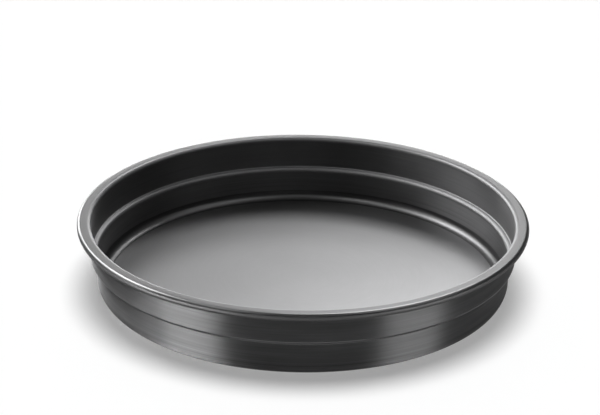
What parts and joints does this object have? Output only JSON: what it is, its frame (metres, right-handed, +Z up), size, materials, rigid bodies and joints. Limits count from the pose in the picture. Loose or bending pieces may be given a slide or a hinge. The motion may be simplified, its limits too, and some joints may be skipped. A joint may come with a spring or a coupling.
{
  "type": "deep dish pizza pan",
  "caption": "Round deep straight-sided baking pan of dark anodised aluminium, with a flat floor, a stacking ledge half way up the wall and a level rim rolled round a wire.",
  "frame": {"origin": "centre of the underside, on the surface that the pan stands on", "axes": "+Z up along the axis of the round pan; +X and +Y lie in the floor and are alike"},
  "size_m": [0.3248, 0.3248, 0.0515],
  "materials": {
    "anodised_sheet": "hard anodised, dark grey, satin, with fine turned lines round the walls",
    "rim_wire": "bare drawn wire, hidden inside the rolled rim"
  },
  "bodies": {
    "root": {"pan_shell": "anodised_sheet", "rim_wire": "rim_wire"}
  },
  "joints": []
}
